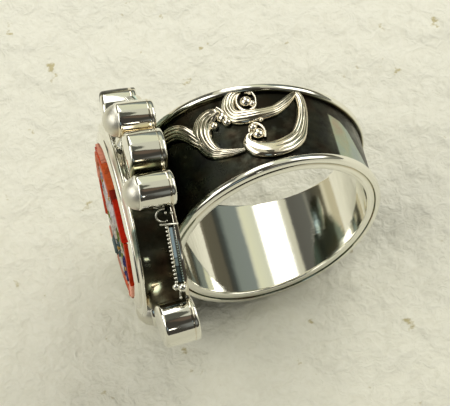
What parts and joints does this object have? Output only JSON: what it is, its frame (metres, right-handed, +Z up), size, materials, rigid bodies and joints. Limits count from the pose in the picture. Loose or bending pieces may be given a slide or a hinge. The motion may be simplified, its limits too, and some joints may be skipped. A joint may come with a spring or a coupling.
{
  "type": "lobed silver ring with a micro-mosaic",
  "caption": "Silver finger ring with a scroll-ornamented band and a tall lobed head that holds an oval floral micro-mosaic.",
  "frame": {"origin": "middle of the bounding box, on the floor that the ring rests on", "axes": "+Y along the finger hole, -X out of the mosaic, +Z up"},
  "size_m": [0.0238, 0.027, 0.0223],
  "materials": {
    "silver": "polished silver with a faint warm tone",
    "silver_dark": "silver, polished inside the finger hole and blackened in the outer channel",
    "cement": "fine grey-brown mosaic cement",
    "tesserae_orange": "orange-red opaque glass rods, satin",
    "tesserae_mixed": "opaque glass tesserae in lilac, slate, navy, green and yellow, satin"
  },
  "bodies": {
    "root": {"shank": "silver_dark", "rim_wire_near": "silver", "rim_wire_far": "silver", "scroll_upper": "silver", "scroll_lower": "silver", "head_frame": "silver", "back_plate": "silver", "beaded_bar_1": "silver", "beaded_bar_2": "silver", "beaded_bar_3": "silver", "beaded_bar_4": "silver", "bezel": "silver", "mosaic_bed": "cement", "mosaic_border": "tesserae_orange", "mosaic_field": "tesserae_mixed"}
  },
  "joints": []
}
